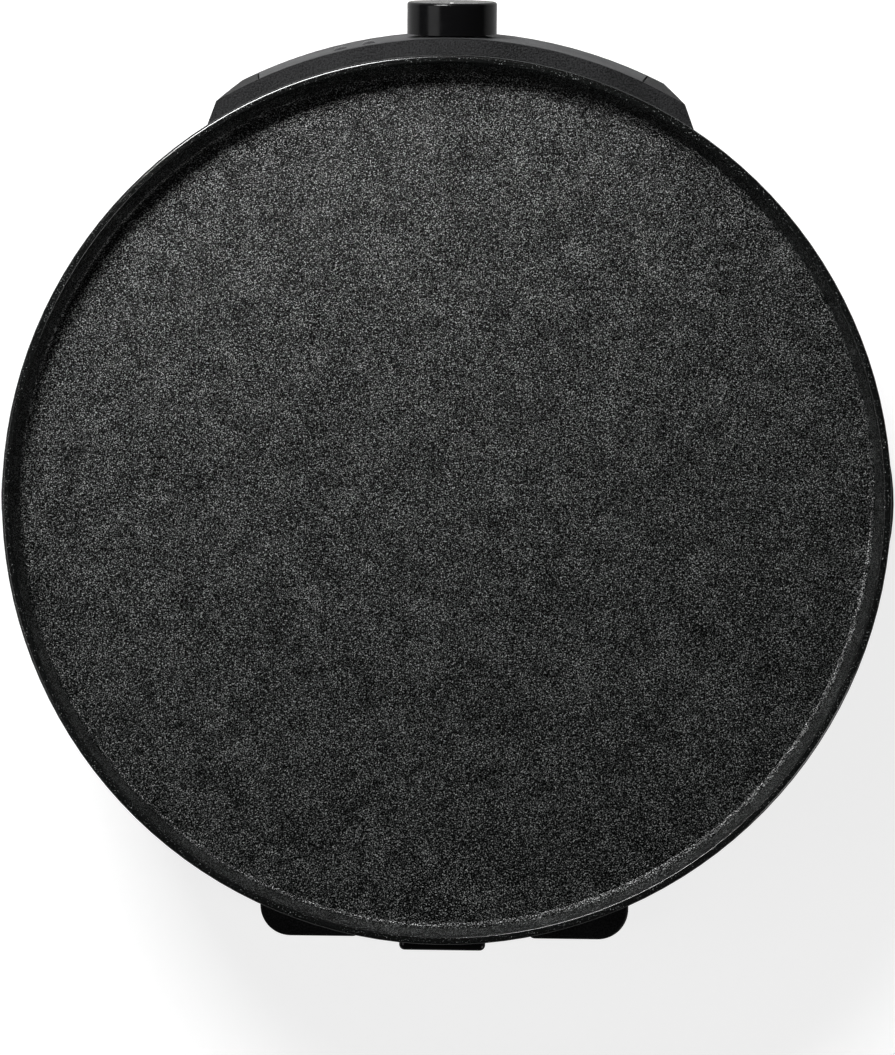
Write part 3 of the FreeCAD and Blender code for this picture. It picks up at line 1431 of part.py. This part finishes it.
def earth_tag():
    """A ring tag screwed to the plate's rear boss, which takes the earth lead."""
    body = new_body("earth_tag")
    ring = new_sketch(body, "XY_Plane", clamp_top)
    draw_circle(ring, 0, clamp_screw_radius, dim.earth_tag_radius)
    draw_circle(ring, 0, clamp_screw_radius, small_hole_radius)
    pad(body, ring, dim.tag_thickness, reverse=True)


def earth_screw():
    body = new_body("earth_screw")
    under = clamp_top - dim.tag_thickness
    screw_pair(body, new_sketch(body, "XY_Plane", under), new_sketch(body, "XY_Plane", under),
               [(0, clamp_screw_radius)], dim.tag_thickness + clamp_screw_depth, dim.small_head_height * 0.75,
               (dim.small_screw_radius, dim.small_head_radius))


# ---------------------------------------------------------------- the whole griddle

def build_all():
    cooking_plate()
    plate_gasket()
    base_shell()
    bottom_cover()
    control_panel()
    panel_screws()
    control_knob()
    knob_pointer()
    knob_spring_clip()
    thermostat_shaft()
    thermostat_body()
    thermostat_bracket()
    thermostat_screws()
    light_lens("power_light_lens", dim.power_light_angle)
    light_lens("ready_light_lens", dim.ready_light_angle)
    indicator_lamps()
    lamp_holder()
    for end, end_name, reach in ((1, "rear", leg_reach), (-1, "front", front_leg_reach)):
        for side, side_name in ((-1, "left"), (1, "right")):
            leg(f"{end_name}_leg_{side_name}", side, end, reach)
            rubber_foot(f"{end_name}_foot_{side_name}", side, end, reach)
    leg_screws()
    inlet_housing()
    inlet_pins()
    inlet_screws()
    heating_element()
    element_terminals()
    element_clamps()
    clamp_screws()
    heat_reflector()
    plate_screws()
    cover_screws()
    sensing_bulb()
    bulb_clip()
    thermal_fuse()
    fuse_sleeve()
    leads()
    earth_tag()
    earth_screw()


def check_all():
    """Stops if any object of the document failed or any sub-part has no good shape."""
    faults = [obj.Name for obj in doc.Objects if "Invalid" in obj.State or "Error" in obj.State]
    for part in sub_parts:
        if part.Shape.isNull() or not part.Shape.isValid() or part.Shape.Volume <= 0:
            faults.append(part.Label)
    if faults:
        raise RuntimeError("failed: " + ", ".join(faults))


def export_all():
    os.makedirs("parts", exist_ok=True)
    for part in sub_parts:
        part.Shape.exportStep(f"parts/{part.Label}.step")


build_all()
doc.recompute()
check_all()
export_all()
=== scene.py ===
import json
import math

import bmesh
import bpy
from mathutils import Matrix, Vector


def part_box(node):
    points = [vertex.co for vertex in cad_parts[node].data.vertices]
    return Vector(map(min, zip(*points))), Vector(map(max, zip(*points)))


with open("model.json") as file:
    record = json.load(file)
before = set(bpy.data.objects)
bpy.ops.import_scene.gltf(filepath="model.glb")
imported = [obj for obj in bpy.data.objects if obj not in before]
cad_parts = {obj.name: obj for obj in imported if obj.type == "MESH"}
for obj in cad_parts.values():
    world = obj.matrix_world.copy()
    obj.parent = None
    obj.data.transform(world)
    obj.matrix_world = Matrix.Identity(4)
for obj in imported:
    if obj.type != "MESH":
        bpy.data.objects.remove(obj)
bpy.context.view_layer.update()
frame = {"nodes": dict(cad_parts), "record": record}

# ---------------------------------------------------------------- the frame's own places

PLATE_LOW, PLATE_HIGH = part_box("cooking_plate")
AXIS_X = (PLATE_LOW.x + PLATE_HIGH.x) / 2
AXIS_Y = (PLATE_LOW.y + PLATE_HIGH.y) / 2
RIM_TOP = PLATE_HIGH.z
PLATE_RADIUS = (PLATE_HIGH.x - PLATE_LOW.x) / 2


# ---------------------------------------------------------------- node material helpers

class Shade:
    """Builds one node material; each method returns an output socket."""

    def __init__(self, name):
        self.material = bpy.data.materials.new(name)
        self.material.use_nodes = True
        self.tree = self.material.node_tree
        self.nodes = self.tree.nodes
        self.shader = self.nodes["Principled BSDF"]

    def link(self, output, entry):
        self.tree.links.new(output, entry)

    def place(self):
        """Object coordinates in metres."""
        return self.nodes.new("ShaderNodeTexCoord").outputs["Object"]

    def moved(self, scale):
        node = self.nodes.new("ShaderNodeMapping")
        node.inputs["Scale"].default_value = scale
        self.link(self.place(), node.inputs["Vector"])
        return node.outputs["Vector"]

    def radius_from(self, centre):
        """Distance in metres from an upright line through a point."""
        vector = self.place()
        for operation, operand in (("SUBTRACT", centre), ("MULTIPLY", (1, 1, 0))):
            step = self.nodes.new("ShaderNodeVectorMath")
            step.operation = operation
            step.inputs[1].default_value = operand
            self.link(vector, step.inputs[0])
            vector = step.outputs["Vector"]
        length = self.nodes.new("ShaderNodeVectorMath")
        length.operation = "LENGTH"
        self.link(vector, length.inputs[0])
        return length.outputs["Value"]

    def noise(self, scale, detail=2.0, rough=0.5, vector=None):
        node = self.nodes.new("ShaderNodeTexNoise")
        node.inputs["Scale"].default_value = scale
        node.inputs["Detail"].default_value = detail
        node.inputs["Roughness"].default_value = rough
        self.link(vector or self.place(), node.inputs["Vector"])
        return node.outputs["Fac"]

    def cells(self, scale):
        node = self.nodes.new("ShaderNodeTexVoronoi")
        node.inputs["Scale"].default_value = scale
        self.link(self.place(), node.inputs["Vector"])
        return node.outputs["Distance"]

    def ramp(self, value, stops):
        node = self.nodes.new("ShaderNodeValToRGB")
        ramp = node.color_ramp
        while len(ramp.elements) < len(stops):
            ramp.elements.new(0.5)
        for element, (position, colour) in zip(ramp.elements, stops):
            element.position = position
            element.color = (*colour, 1)
        self.link(value, node.inputs["Fac"])
        return node.outputs["Color"]

    def math(self, operation, first, second):
        node = self.nodes.new("ShaderNodeMath")
        node.operation = operation
        for entry, value in zip(node.inputs, (first, second)):
            if isinstance(value, (int, float)):
                entry.default_value = value
            else:
                self.link(value, entry)
        return node.outputs["Value"]

    def spread(self, value, low, high, from_low=0.0, from_high=1.0):
        node = self.nodes.new("ShaderNodeMapRange")
        limits = {"From Min": from_low, "From Max": from_high, "To Min": low, "To Max": high}
        for name, number in limits.items():
            node.inputs[name].default_value = number
        self.link(value, node.inputs["Value"])
        return node.outputs["Result"]

    def bump(self, height, distance, strength=1.0, under=None):
        node = self.nodes.new("ShaderNodeBump")
        node.inputs["Strength"].default_value = strength
        node.inputs["Distance"].default_value = distance
        self.link(height, node.inputs["Height"])
        if under is not None:
            self.link(under, node.inputs["Normal"])
        return node.outputs["Normal"]

    def finish(self, colour=None, roughness=None, normal=None, sockets=None):
        """Wires the varying inputs and sets the uniform ones on the shader itself."""
        shader = self.shader
        for entry, value in (("Base Color", colour), ("Roughness", roughness), ("Normal", normal)):
            if value is None:
                continue
            if isinstance(value, (int, float)):
                shader.inputs[entry].default_value = value
            elif isinstance(value, tuple):
                shader.inputs[entry].default_value = (*value, 1)
            else:
                self.link(value, shader.inputs[entry])
        for entry, value in (sockets or {}).items():
            shader.inputs[entry].default_value = value
        return self.material


# ---------------------------------------------------------------- materials

# noise scales are per metre, depths in metres
PLATE_CENTRE = frame["nodes"]["cooking_plate"].matrix_world.inverted() @ Vector((AXIS_X, AXIS_Y, 0))
PEBBLE_SCALE = 2050
FINE_SCALE = 3700
CLUMP_SCALE = 90
PEBBLE_SHARE = 0.72
FINE_SHARE = 0.28
PEBBLE_DEPTH = 0.00024
RIM_SMOOTH_FROM = PLATE_RADIUS - 0.0036
RIM_SMOOTH_TO = PLATE_RADIUS - 0.0028
RIM_PEBBLING = 0.03
MOULD_GRAIN_SCALE = 1500
MOULD_GRAIN_DEPTH = 0.00014
PANEL_GRAIN_SCALE = 1900
PANEL_GRAIN_DEPTH = 0.00006


def nonstick():
    """Dark pebbled non-stick coating whose grains glint through a varying specular level; its lighter flecks
    are the coating's own speckle and its brightest flecks are painted glints in the base colour. It runs
    smooth over the rim.
    """
    shade = Shade("nonstick_coating")
    pebbles = shade.noise(PEBBLE_SCALE, 1.0, 0.5)
    fine = shade.noise(FINE_SCALE, 1.0, 0.5)
    clumps = shade.noise(CLUMP_SCALE, 3.0, 0.6)
    faint = shade.math("MULTIPLY", fine, FINE_SHARE)
    grain = shade.math("ADD", shade.math("MULTIPLY", pebbles, PEBBLE_SHARE), faint)
    pebbled = shade.spread(shade.radius_from(PLATE_CENTRE), 1.0, RIM_PEBBLING, RIM_SMOOTH_FROM, RIM_SMOOTH_TO)
    # lowers the speckle over the smooth rim, which dims both the painted glints in the base colour and the
    # specular level there
    sunk = shade.spread(pebbled, -0.05, 0.0)
    mottled = shade.math("ADD", shade.math("ADD", grain, sunk), shade.spread(clumps, -0.02, 0.02, 0.3, 0.7))
    # base colour: dark coating with lighter speckle; the two brightest stops are painted glints, bright
    # flecks standing in for light caught by the grains
    tone = shade.ramp(mottled, [
        (0.40, (0.0010, 0.0012, 0.0011)),
        (0.51, (0.0040, 0.0043, 0.0042)),
        (0.57, (0.0120, 0.0127, 0.0125)),
        (0.61, (0.0700, 0.0735, 0.0722)),
        (0.66, (0.2600, 0.2700, 0.2650)),
    ])
    normal = shade.bump(shade.math("MULTIPLY", shade.math("ADD", pebbles, faint), pebbled), PEBBLE_DEPTH)
    polish = shade.spread(pebbled, 0.55, 1.0)
    rough = shade.math("MULTIPLY", shade.spread(fine, 0.22, 0.40, 0.35, 0.65), polish)
    rim_gloss = shade.spread(pebbled, 0.6, 0.0)
    glint = shade.math("MAXIMUM", shade.spread(mottled, 0.03, 1.0, 0.47, 0.62), rim_gloss)
    shade.link(glint, shade.shader.inputs["Specular IOR Level"])
    return shade.finish(tone, rough, normal)


def textured_plastic():
    """Satin black moulding with a fine spark-eroded texture."""
    shade = Shade("textured_plastic")
    grain = shade.noise(MOULD_GRAIN_SCALE, 2.0, 0.6)
    cloud = shade.noise(60, 2.0, 0.5)
    mixed = shade.math("ADD", shade.math("MULTIPLY", grain, 0.8), shade.math("MULTIPLY", cloud, 0.2))
    tone = shade.ramp(mixed, [(0.40, (0.0010, 0.0011, 0.0012)), (0.60, (0.0190, 0.0193, 0.0202))])
    normal = shade.bump(grain, MOULD_GRAIN_DEPTH)
    return shade.finish(tone, shade.spread(grain, 0.42, 0.60, 0.3, 0.7), normal, {"Specular IOR Level": 0.12})


def satin_panel():
    """Dark grey satin face with a fine grain."""
    shade = Shade("panel_plastic")
    grain = shade.noise(PANEL_GRAIN_SCALE, 2.0, 0.6)
    cloud = shade.noise(40, 2.0, 0.5)
    tone = shade.ramp(grain, [(0.38, (0.030, 0.031, 0.032)), (0.62, (0.075, 0.076, 0.078))])
    rough = shade.spread(cloud, 0.46, 0.60, 0.3, 0.7)
    return shade.finish(tone, rough, shade.bump(grain, PANEL_GRAIN_DEPTH, 0.8), {"Specular IOR Level": 0.25})


def gloss_plastic(name, tone, rough, level=0.5):
    """Polished moulding with faint flow marks and handling marks."""
    shade = Shade(name)
    flow = shade.noise(25, 3.0, 0.5)
    marks = shade.noise(420, 3.0, 0.6)
    colour = shade.ramp(flow, [(0.3, tuple(c * 0.85 for c in tone)), (0.7, tuple(c * 1.15 for c in tone))])
    roughness = shade.spread(marks, rough * 0.8, rough * 1.5, 0.35, 0.75)
    normal = shade.bump(flow, 0.00004, 0.5)
    return shade.finish(colour, roughness, normal, {"Specular IOR Level": level})


def rubber():
    shade = Shade("foot_rubber")
    grain = shade.noise(1800, 3.0, 0.6)
    colour = shade.ramp(grain, [(0.3, (0.015, 0.015, 0.015)), (0.7, (0.035, 0.035, 0.035))])
    return shade.finish(colour, shade.spread(grain, 0.7, 0.9), shade.bump(grain, 0.0001, 0.6))


def silicone(name, tone):
    shade = Shade(name)
    grain = shade.noise(700, 2.0, 0.5)
    dark, light = (tuple(c * share for c in tone) for share in (0.75, 1.25))
    colour = shade.ramp(grain, [(0.3, dark), (0.7, light)])
    return shade.finish(colour, shade.spread(grain, 0.38, 0.55), shade.bump(grain, 0.00004, 0.5))


def metal(name, tone, rough, grain_scale=(900, 900, 60), depth=0.00003):
    """Metal with a fine drawn grain and slight staining."""
    shade = Shade(name)
    grain = shade.noise(1.0, 3.0, 0.6, shade.moved(grain_scale))
    stain = shade.noise(45, 4.0, 0.6)
    colour = shade.ramp(stain, [(0.3, tuple(c * 0.8 for c in tone)), (0.7, tone)])
    roughness = shade.spread(grain, rough * 0.8, rough * 1.3, 0.3, 0.7)
    return shade.finish(colour, roughness, shade.bump(grain, depth, 0.6), {"Metallic": 1.0})


def lens(name, tone):
    """Translucent coloured lens with moulded facets beneath the surface."""
    shade = Shade(name)
    facets = shade.cells(1800)
    colour = shade.ramp(facets, [(0.0, tuple(c * 0.6 for c in tone)), (0.6, tone)])
    return shade.finish(colour, shade.spread(facets, 0.12, 0.22), shade.bump(facets, 0.00005, 0.6),
                        {"Transmission Weight": 0.25, "IOR": 1.49})


def woven_glass():
    shade = Shade("woven_glass_sleeve")
    weave = shade.nodes.new("ShaderNodeTexWave")
    weave.inputs["Scale"].default_value = 900
    weave.inputs["Distortion"].default_value = 1.5
    shade.link(shade.place(), weave.inputs["Vector"])
    colour = shade.ramp(weave.outputs["Fac"], [(0.2, (0.55, 0.53, 0.45)), (0.8, (0.85, 0.83, 0.75))])
    return shade.finish(colour, 0.8, shade.bump(weave.outputs["Fac"], 0.0002, 0.8))


def bakelite():
    shade = Shade("control_bakelite")
    speck = shade.noise(900, 4.0, 0.7)
    colour = shade.ramp(speck, [(0.3, (0.30, 0.27, 0.22)), (0.6, (0.55, 0.50, 0.42))])
    return shade.finish(colour, shade.spread(speck, 0.4, 0.6), shade.bump(speck, 0.00005, 0.5))


def lamp_glass():
    shade = Shade("lamp_glass")
    swirl = shade.noise(300, 2.0)
    colour = shade.ramp(swirl, [(0.2, (0.9, 0.72, 0.6)), (0.8, (0.98, 0.86, 0.76))])
    return shade.finish(colour, shade.spread(swirl, 0.04, 0.1), shade.bump(swirl, 0.00002, 0.3),
                        {"Transmission Weight": 0.85, "IOR": 1.5})


SLOT_MATERIALS = {
    "nonstick_aluminium": nonstick(),
    "housing_plastic": textured_plastic(),
    "gloss_black_plastic": gloss_plastic("gloss_black_plastic", (0.003, 0.003, 0.0033), 0.17, 0.25),
    "panel_plastic": satin_panel(),
    "smoked_lens": lens("smoked_lens", (0.06, 0.06, 0.063)),
    "white_inlay": gloss_plastic("white_inlay", (0.72, 0.72, 0.70), 0.3),
    "foot_rubber": rubber(),
    "gasket_silicone": silicone("gasket_silicone", (0.10, 0.035, 0.025)),
    "element_steel": metal("element_steel", (0.26, 0.24, 0.22), 0.4),
    "reflector_steel": metal("reflector_steel", (0.72, 0.72, 0.74), 0.22),
    "zinc_steel": metal("zinc_steel", (0.62, 0.62, 0.64), 0.3),
    "contact_brass": metal("contact_brass", (0.78, 0.62, 0.34), 0.25),
    "control_bakelite": bakelite(),
    "lamp_glass": lamp_glass(),
    "glass_sleeve": woven_glass(),
    "lead_live": silicone("lead_live", (0.20, 0.08, 0.03)),
    "lead_neutral": silicone("lead_neutral", (0.04, 0.10, 0.32)),
    "lead_load": silicone("lead_load", (0.40, 0.04, 0.03)),
    "lead_earth": silicone("lead_earth", (0.28, 0.42, 0.05)),
}


def dress_cad_nodes():
    for part in frame["record"]["subparts"]:
        node = frame["nodes"][part["node"]]
        node.data.materials.clear()
        node.data.materials.append(SLOT_MATERIALS[part["material_slot"]])


dress_cad_nodes()


# ---------------------------------------------------------------- floor, light and camera

FLOOR_HALF_SIDE = 3.0
FLOOR_GLOW = 0.79
WORLD_LIGHT = 0.04
LIGHTS = (
    # name, place, length and width, watts
    ("key", (0.34, -0.72, 0.74), (0.46, 0.30), 18.5),
    ("fill", (1.4, 0.2, 1.3), (1.0, 1.0), 4),
    ("edge", (-1.3, 0.9, 0.5), (0.6, 0.6), 5),
)


def make_floor():
    """Pale paper that shows white to the camera and throws little light back on the griddle."""
    bm = bmesh.new()
    bmesh.ops.create_grid(bm, x_segments=8, y_segments=8, size=FLOOR_HALF_SIDE)
    mesh = bpy.data.meshes.new("floor")
    bm.to_mesh(mesh)
    bm.free()
    floor = bpy.data.objects.new("floor", mesh)
    bpy.context.scene.collection.objects.link(floor)
    shade = Shade("floor_paper")
    grain = shade.noise(300, 2.0)
    tone = shade.ramp(grain, [(0.3, (0.30, 0.30, 0.30)), (0.7, (0.34, 0.34, 0.34))])
    seen = shade.nodes.new("ShaderNodeLightPath").outputs["Is Camera Ray"]
    shade.link(shade.math("MULTIPLY", seen, FLOOR_GLOW), shade.shader.inputs["Emission Strength"])
    mesh.materials.append(shade.finish(tone, 0.8, None, {"Emission Color": (1, 1, 1, 1)}))


def area_light(name, place, size, power):
    """A soft rectangular light aimed at the middle of the plate."""
    data = bpy.data.lights.new(name, "AREA")
    data.shape = "RECTANGLE"
    data.size, data.size_y = size
    data.energy = power
    light = bpy.data.objects.new(name, data)
    light.location = place
    aim = Vector((AXIS_X, AXIS_Y, RIM_TOP)) - Vector(place)
    light.rotation_euler = aim.to_track_quat("-Z", "Y").to_euler()
    bpy.context.scene.collection.objects.link(light)


def make_lights():
    world = bpy.data.worlds.new("studio")
    world.use_nodes = True
    world.node_tree.nodes["Background"].inputs["Color"].default_value = (1, 1, 1, 1)
    nodes, links = world.node_tree.nodes, world.node_tree.links
    seen = nodes.new("ShaderNodeLightPath").outputs["Is Camera Ray"]
    strength = nodes.new("ShaderNodeMapRange")
    strength.inputs["To Min"].default_value = WORLD_LIGHT
    strength.inputs["To Max"].default_value = FLOOR_GLOW
    links.new(seen, strength.inputs["Value"])
    links.new(strength.outputs["Result"], nodes["Background"].inputs["Strength"])
    bpy.context.scene.world = world
    for name, place, size, power in LIGHTS:
        area_light(name, place, size, power)


CAMERA_HEIGHT = 1.0
CLIP_START = 0.01
SENSOR = 36.0
LONG_SIDE_AT_RIM = 0.39056
ROLL = math.radians(0.60)
CAMERA_ASIDE = 0.0186
AIM_ASIDE = 0.0008
SHIFT_UP = -0.0258


def make_camera():
    """Looks down from just beside the plate's axis, leaning back towards it."""
    data = bpy.data.cameras.new("camera")
    data.sensor_width = SENSOR
    data.lens = SENSOR * CAMERA_HEIGHT / LONG_SIDE_AT_RIM
    data.shift_y = SHIFT_UP
    data.clip_start = CLIP_START
    camera = bpy.data.objects.new("camera", data)
    camera.location = (AXIS_X - CAMERA_ASIDE, AXIS_Y, RIM_TOP + CAMERA_HEIGHT)
    lean = math.atan2(CAMERA_ASIDE - AIM_ASIDE, CAMERA_HEIGHT)
    camera.rotation_euler = (0, lean, math.pi + ROLL)
    bpy.context.scene.collection.objects.link(camera)
    bpy.context.scene.camera = camera
    bpy.context.scene.view_settings.view_transform = "Standard"


make_floor()
make_lights()
make_camera()
